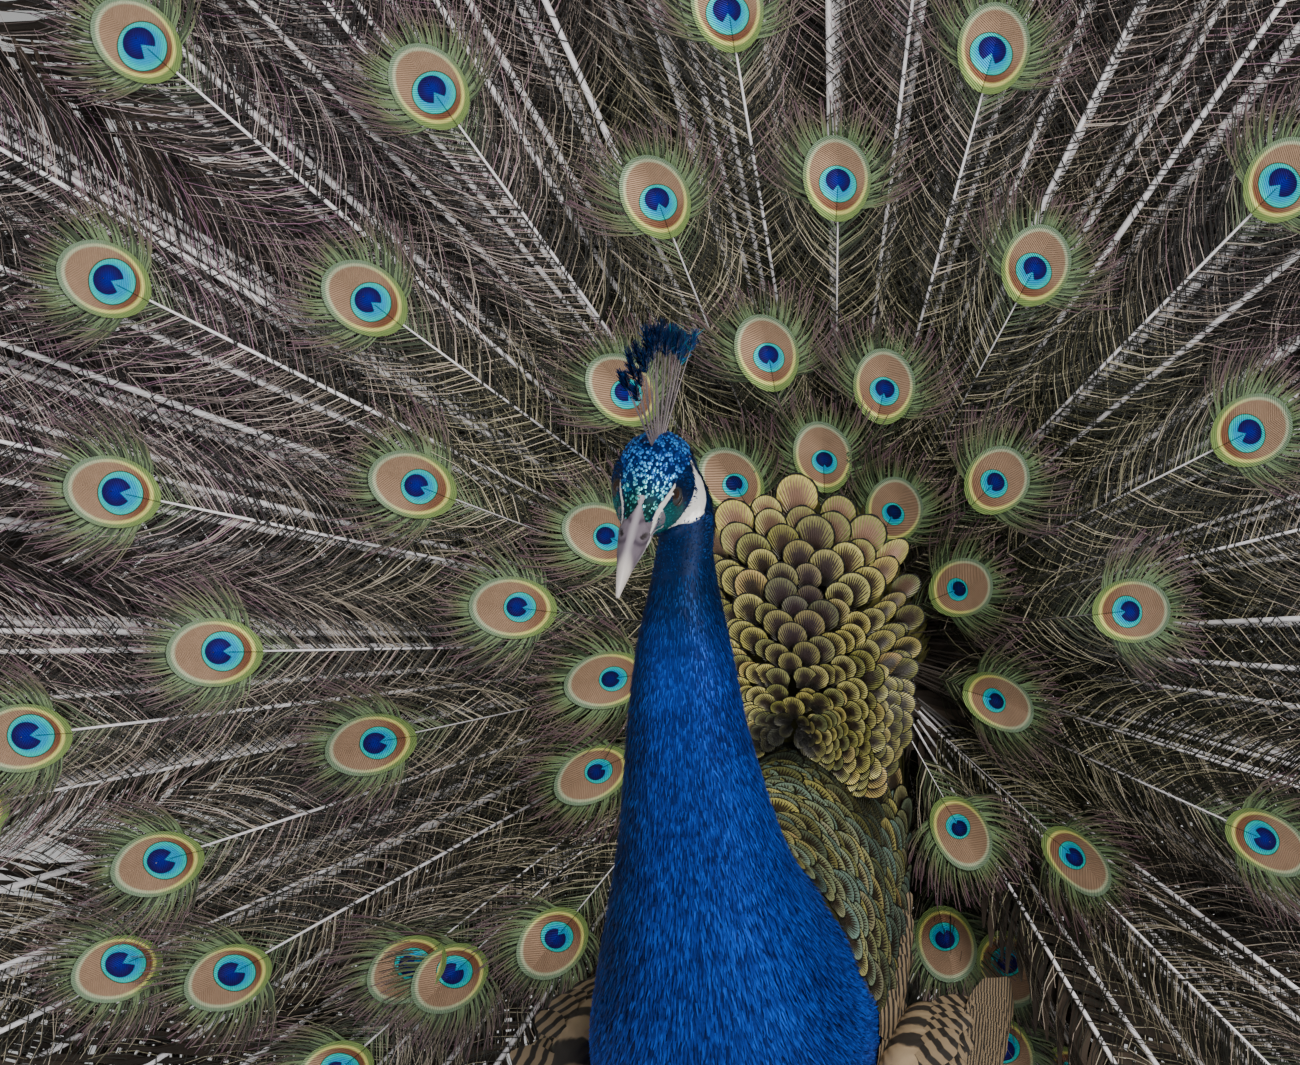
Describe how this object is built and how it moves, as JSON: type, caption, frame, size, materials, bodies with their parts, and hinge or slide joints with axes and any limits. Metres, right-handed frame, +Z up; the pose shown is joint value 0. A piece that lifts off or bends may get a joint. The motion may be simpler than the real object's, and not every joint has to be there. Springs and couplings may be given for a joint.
{
  "type": "peacock",
  "caption": "Life-size male Indian peafowl standing in full display, with the train raised in a bowl-shaped fan, wings drooped, tail behind the train and a fan crest on the head.",
  "frame": {"origin": "on the floor, under the middle of the bounding box", "axes": "+Z up, +X to the bird's left and along the width of the fan, the bird faces -Y"},
  "size_m": [2.2654, 0.5672, 1.6314],
  "materials": {
    "blue_feathers": "silky iridescent cobalt blue",
    "crown_feathers": "metallic turquoise blue, with bare white skin patches on the face",
    "crest_feathers": "bare grey shafts with blue-black tips",
    "horn": "grey-lilac horn, paler at the tip",
    "eye": "wet dark brown",
    "scale_feathers": "bronze green with dark edges, iridescent",
    "train_feathers": "loose bronze and green barbs with blue and bronze eyespots",
    "tail_feathers": "matt grey-brown",
    "wing_feathers": "barred buff coverts and rufous primaries",
    "down": "soft blackish down",
    "thigh_feathers": "soft buff",
    "leg_scales": "scaled grey-brown skin",
    "claw_horn": "dark horn"
  },
  "bodies": {
    "root": {"head": "crown_feathers", "bill_upper": "horn", "bill_lower": "horn", "eye_left": "eye", "eye_right": "eye", "crest": "crest_feathers", "neck_upper": "blue_feathers", "neck_lower": "blue_feathers", "torso": "scale_feathers", "rump": "scale_feathers", "vent": "down", "train_right_low": "train_feathers", "train_right_mid": "train_feathers", "train_right_high": "train_feathers", "train_left_high": "train_feathers", "train_left_mid": "train_feathers", "train_left_low": "train_feathers", "tail": "tail_feathers", "wing_left": "wing_feathers", "wing_right": "wing_feathers", "thigh_left": "thigh_feathers", "thigh_right": "thigh_feathers", "shank_left": "leg_scales", "shank_right": "leg_scales", "spur_left": "claw_horn", "spur_right": "claw_horn", "foot_left": "leg_scales", "foot_right": "leg_scales", "claw_left_inner": "claw_horn", "claw_left_middle": "claw_horn", "claw_left_outer": "claw_horn", "claw_left_hind": "claw_horn", "claw_right_inner": "claw_horn", "claw_right_middle": "claw_horn", "claw_right_outer": "claw_horn", "claw_right_hind": "claw_horn"}
  },
  "joints": []
}
